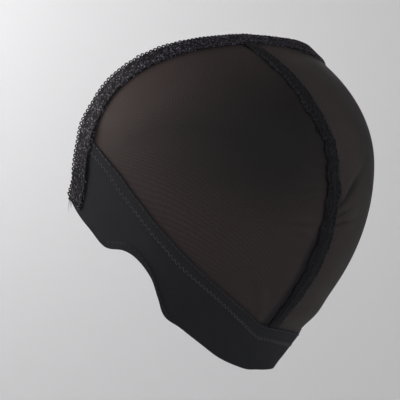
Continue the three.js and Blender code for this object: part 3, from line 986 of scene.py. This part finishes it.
def seam_tape():
    across = np.linspace(-1, 1, TAPE_COLUMNS)[:, None]
    down = np.linspace(0, 1, TAPE_ROWS)[None, :]
    across, down = np.broadcast_arrays(across, down)
    spot = tape_spot(down, across)
    edge = edge_round((1 - np.abs(across)) * TAPE_WIDTH / 2, EDGE_ROUND)
    inner = tape_lift(down, across) - TAPE_THICK
    outer = inner + TAPE_THICK * edge
    flat = form_point(spot)
    place = np.stack([run_length(flat, 0), run_length(flat, 1)], -1)
    return wall_piece("seam_tape", cloth_point(spot, outer), cloth_point(spot, inner), place, TAPE)


tape = seam_tape()
tape_rows = [
    sewn_row(tape_surface, *TAPE_STITCH_ENDS, across, radius=TAPE_STITCH_RADIUS)
    for across in TAPE_STITCH_LINES
]
tape_sewing = thread_piece("tape_stitching", tape_rows, TAPE)

# Lace elastic

ELASTIC_COLUMN_PITCH = 0.7
ELASTIC_ROWS = 16
LACE_RELIEF = 0.12
CHAIN_LINES = np.linspace(0.8, 8.2, 7)  # crocheted chains, as distances behind the front edge
CHAIN_PITCH = 1.4
CHAIN_SWING = 0.45
CHAIN_RADIUS = 0.22
CHAIN_STEPS = 6  # points of thread in each pitch
CHAIN_RISE = 0.5  # share of the thread's radius by which it rises and dips
CHAIN_SINK = 0.1
PICOT_PITCH = 2.2
PICOT_REACH = 1.2
PICOT_UNEVENNESS = 0.15  # share by which the loops differ in reach
PICOT_ROOT = 0.6  # where a loop is rooted, as a distance behind the front edge
PICOT_SPAN = 0.36  # half the width of a loop, as a share of the pitch
PICOT_ENDS = (-0.15, 1.15)  # where a loop starts and ends, in half turns
PICOT_STEPS = 9
PICOT_RADIUS = 0.34
ELASTIC_SEWING = 8.5  # row of stitches along the inner edge
SEWING_END = LAST_EDGE - 0.1  # row of the front edge

# Frayed filaments at the cut end by the left temple: distance behind the front edge, fall, lean
LOOSE_ENDS = [(0.8, 6.5, 0.6), (1.8, 4.0, -0.5), (3.0, 3.0, 0.9)]
LOOSE_ROOT = LAST_EDGE - 0.03  # row of the front edge
LOOSE_BOW, LOOSE_BOW_TURN = 0.5, 3  # how far they bow outwards, and through what angle (radians)
LOOSE_RADIUS = 0.14
LOOSE_TIP = 0.1  # share of the radius left at the tip
LOOSE_STEPS = 7


def elastic_spot(row, distance):
    """Spot a distance behind the front edge, with the slant of the cut ends."""
    spot = behind_front_edge(row, distance)
    at_end = smooth(np.abs(row), LAST_EDGE - ELASTIC_END_ROWS, LAST_EDGE)
    slant = distance / ELASTIC_WIDTH * at_end * ELASTIC_END_SLANT
    return step_over(spot, np.array([0, 0, -1.0]) * slant[..., None])


def elastic_base(spot, row, distance, climb):
    """Height off the form of what the elastic lies on, which rises onto the band between two depths."""
    below = below_band_top(spot)
    on_band = smooth(below, *climb)
    past_lap = 1 - on_mesh_lap(below - ELASTIC_DROP_LAG)
    flare = FLARE_LIFT * np.exp(-(((row - FLARE_ROW) / FLARE_REACH) ** 2)) * (1 - distance / ELASTIC_WIDTH)
    return LAP_LIFT + ELASTIC_ON_BAND * on_band - ELASTIC_PAST_LAP * past_lap + flare


def elastic_surface(row, distance):
    row, distance = np.broadcast_arrays(np.asarray(row, float), np.asarray(distance, float))
    spot = elastic_spot(row, distance)
    lift = elastic_base(spot, row, distance, ELASTIC_CLIMB) + ELASTIC_THICK
    return cloth_point(spot, lift), form_normal(spot)


def even_rows(distance, spacing):
    """Rows of the front edge that are evenly spaced along a line behind it."""
    fine = np.linspace(-LAST_EDGE, LAST_EDGE, FINE_STEPS)
    length = run_length(elastic_surface(fine, distance)[0])
    count = int(length[-1] / spacing) + 1
    return np.interp(np.linspace(0, length[-1], count), length, fine)


def lace_elastic():
    row = even_rows(ELASTIC_WIDTH / 2, ELASTIC_COLUMN_PITCH)[:, None]
    distance = np.linspace(0, ELASTIC_WIDTH, ELASTIC_ROWS)[None, :]
    row, distance = np.broadcast_arrays(row, distance)
    spot = elastic_spot(row, distance)
    inner = elastic_base(spot, row, distance, ELASTIC_STEP)
    flat = form_point(spot)
    along = run_length(flat, 0)
    along_wave, across_wave = (np.sin(2 * math.pi * run / CHAIN_PITCH) for run in (along, distance))
    relief = LACE_RELIEF * along_wave * across_wave
    edge = edge_round(distance, EDGE_ROUND) * edge_round(ELASTIC_WIDTH - distance, EDGE_ROUND)
    outer = elastic_base(spot, row, distance, ELASTIC_CLIMB) + (ELASTIC_THICK + relief) * edge
    place = np.stack([along, distance], -1)
    return wall_piece("lace_elastic", cloth_point(spot, outer), cloth_point(spot, inner), place, LACE)


def crochet_chains():
    bundles = []
    for number, line in enumerate(CHAIN_LINES):
        row = even_rows(line, CHAIN_PITCH / CHAIN_STEPS)
        turn = np.arange(len(row)) * 2 * math.pi / CHAIN_STEPS + number * math.pi
        swing = CHAIN_SWING * np.sin(turn)
        points, normals = elastic_surface(row, line + swing)
        rise = CHAIN_RADIUS * CHAIN_RISE * np.cos(2 * turn) - CHAIN_SINK
        radii = np.full(len(row), CHAIN_RADIUS)
        bundles.append((points[None] + (normals * rise[:, None])[None], normals[None], radii))
    return thread_piece("elastic_crochet_chains", bundles, LACE, FINE_THREAD_SIDES)


def picot_loops():
    row = even_rows(0, PICOT_PITCH)[1:-1, None]
    points, normals = elastic_surface(row, PICOT_ROOT)
    ahead = elastic_surface(row + ROW_NUDGE, PICOT_ROOT)[0]
    along = unit(ahead - points)
    out = unit(np.cross(along, normals))
    turn = np.linspace(*PICOT_ENDS, PICOT_STEPS) * math.pi
    reach = PICOT_REACH * (1 + PICOT_UNEVENNESS * chance.standard_normal((len(row), 1)))
    loops = (
        points
        - normals * ELASTIC_THICK / 2
        + along * (PICOT_PITCH * PICOT_SPAN * np.cos(turn))[:, None]
        + out * (PICOT_ROOT + reach * np.sin(turn))[..., None]
    )
    bundle = (loops, np.broadcast_to(normals, loops.shape), np.full(PICOT_STEPS, PICOT_RADIUS))
    return thread_piece("elastic_picots", [bundle], LACE, FINE_THREAD_SIDES)


def loose_ends():
    share = np.linspace(0, 1, LOOSE_STEPS)
    bow = LOOSE_BOW * np.sin(share * LOOSE_BOW_TURN)
    threads = []
    for distance, fall, lean in LOOSE_ENDS:
        point, normal = elastic_surface(np.array([LOOSE_ROOT]), np.array([distance]))
        droop = np.stack([np.zeros_like(share), -lean * share**2, -fall * share], -1)
        threads.append(point + droop + normal * (bow - ELASTIC_THICK / 2)[:, None])
    points = np.stack(threads)
    normals = np.broadcast_to(np.array([1.0, 0, 0]), points.shape)
    bundle = (points, normals, LOOSE_RADIUS * (1 + LOOSE_TIP - share))
    return thread_piece("elastic_loose_ends", [bundle], THREAD, FINE_THREAD_SIDES)


elastic = lace_elastic()
chains = crochet_chains()
picots = picot_loops()
frayed = loose_ends()
elastic_row = sewn_row(elastic_surface, -SEWING_END, SEWING_END, ELASTIC_SEWING)
elastic_sewing = thread_piece("elastic_stitching", [elastic_row], THREAD)

# Model parts that the pieces above stand for, whose own solids are hidden

for piece, node in (
    (panel_left, "side_panel_left"),
    (panel_right, "side_panel_right"),
    (tape, "centre_seam_tape"),
    (band, "nape_band"),
    (elastic, "front_elastic"),
):
    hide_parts(node)

# Studio, in metres: a pale paper bowl, so that every side has the same plain ground

FLOOR_DROP = 1.1  # below the middle of the form
FLOOR_RINGS = [0.02, 0.7, 1.4]  # radii
FLOOR_RADIUS = 2.5
BOWL_BEND = 0.35
BOWL_HEIGHT = 3.2
BEND_RINGS = 14
BOWL_COLUMNS = 97


def studio_bowl():
    bend = np.linspace(0, math.pi / 2, BEND_RINGS)
    bend_radius, bend_height = FLOOR_RADIUS + BOWL_BEND * np.sin(bend), BOWL_BEND * (1 - np.cos(bend))
    radius = np.concatenate([FLOOR_RINGS, bend_radius, [FLOOR_RADIUS + BOWL_BEND]])[:, None]
    height = np.concatenate([np.zeros(len(FLOOR_RINGS)), bend_height, [BOWL_HEIGHT]])[:, None] - FLOOR_DROP
    turn = np.linspace(0, 2 * math.pi, BOWL_COLUMNS)
    points = np.stack([radius * np.cos(turn), radius * np.sin(turn), height + 0 * turn], -1)
    mesh = bpy.data.meshes.new("studio_bowl")
    mesh.from_pydata(points.reshape(-1, 3).tolist(), [], sheet_faces(*points.shape[:2]))
    mesh.materials.append(matt_studio_paper())
    mesh.shade_smooth()
    bowl = bpy.data.objects.new("studio_bowl", mesh)
    scene.collection.objects.link(bowl)


studio_bowl()

# Camera, and lights placed from its axes

AZIMUTH, ELEVATION, ROLL = (math.radians(x) for x in (138, 3.55, -0.65))
DISTANCE = 1.0
AIM_RIGHT, AIM_UP = -0.0021, -0.018  # the picture's middle, from the middle of the form
PIXELS_PER_MM = 2.025
PICTURE_PIXELS = 400
SENSOR = 36

back = Vector((
    math.sin(AZIMUTH) * math.cos(ELEVATION), -math.cos(AZIMUTH) * math.cos(ELEVATION), math.sin(ELEVATION),
))
level_right = Vector((math.cos(AZIMUTH), math.sin(AZIMUTH), 0))
level_up = back.cross(level_right)
right = math.cos(ROLL) * level_right + math.sin(ROLL) * level_up
up = math.cos(ROLL) * level_up - math.sin(ROLL) * level_right


def looking(place, target, upward):
    """Matrix of a camera or lamp at a place that looks at a target."""
    behind = (place - target).normalized()
    side = upward.cross(behind).normalized()
    turned = Matrix((side, behind.cross(side), behind)).transposed()
    return Matrix.Translation(place) @ turned.to_4x4()


camera = bpy.data.objects.new("camera", bpy.data.cameras.new("camera"))
camera.data.sensor_width = SENSOR
camera.data.lens = SENSOR * PIXELS_PER_MM * DISTANCE / MM / PICTURE_PIXELS
camera.matrix_world = looking(back * DISTANCE, right * AIM_RIGHT + up * AIM_UP, up)
scene.collection.objects.link(camera)
scene.camera = camera


def from_camera(to_right, to_up, to_camera):
    """Point of the studio by its distances along the camera's axes from the middle of the form."""
    return right * to_right + up * to_up + back * to_camera


def add_lamp(name, place, target, size, watts, colour):
    light = bpy.data.lights.new(name, "AREA")
    light.size = size
    light.energy = watts
    light.color = linear(colour)[:3]
    lamp = bpy.data.objects.new(name, light)
    lamp.matrix_world = looking(place, target, Vector((0, 0, 1)))
    scene.collection.objects.link(lamp)


# Softboxes that face the cap: name, place as (right, up, towards the camera) in metres, size, watts, colour
SOFTBOXES = [
    ("key_softbox", (-1.5, 0.7, 0.1), 1.1, 27, "#fffaf4"),
    ("side_softbox", (0.95, 0.75, 1.15), 1.0, 7, "#f6f9ff"),
    ("front_fill", (0.1, 0.9, 1.5), 1.6, 8, "#fffdfa"),
    ("far_fill", (0.1, 0.6, -1.6), 0.5, 3.5, "#fffdfa"),
]
for name, place, size, watts, colour in SOFTBOXES:
    add_lamp(name, from_camera(*place), Vector((0, 0, 0)), size, watts, colour)

# Lamps that light the paper on four sides, from the one behind the cap on towards the picture's left:
# place and target of the first by the camera's axes, size, watts of each
PAPER_LAMP_PLACE = (-0.9, 0.5, -2.0)
PAPER_LAMP_TARGET = (-0.2, 0.0, -2.85)
PAPER_LAMP_SIZE = 0.7
PAPER_LAMP_WATTS = (14, 8, 9, 6)
PAPER_LAMP_COLOUR = "#ffffff"
for quarter, watts in enumerate(PAPER_LAMP_WATTS):
    turn = Matrix.Rotation(quarter * math.radians(90), 3, "Z")
    place, target = (turn @ from_camera(*spot) for spot in (PAPER_LAMP_PLACE, PAPER_LAMP_TARGET))
    add_lamp(f"paper_light_{quarter}", place, target, PAPER_LAMP_SIZE, watts, PAPER_LAMP_COLOUR)

AIR_COLOUR = "#f2f4f6"
AIR_STRENGTH = 0.06
world = bpy.data.worlds.new("studio_air")
world.use_nodes = True
air = world.node_tree.nodes["Background"].inputs
air["Color"].default_value = linear(AIR_COLOUR)
air["Strength"].default_value = AIR_STRENGTH
scene.world = world
scene.view_settings.view_transform = "Standard"
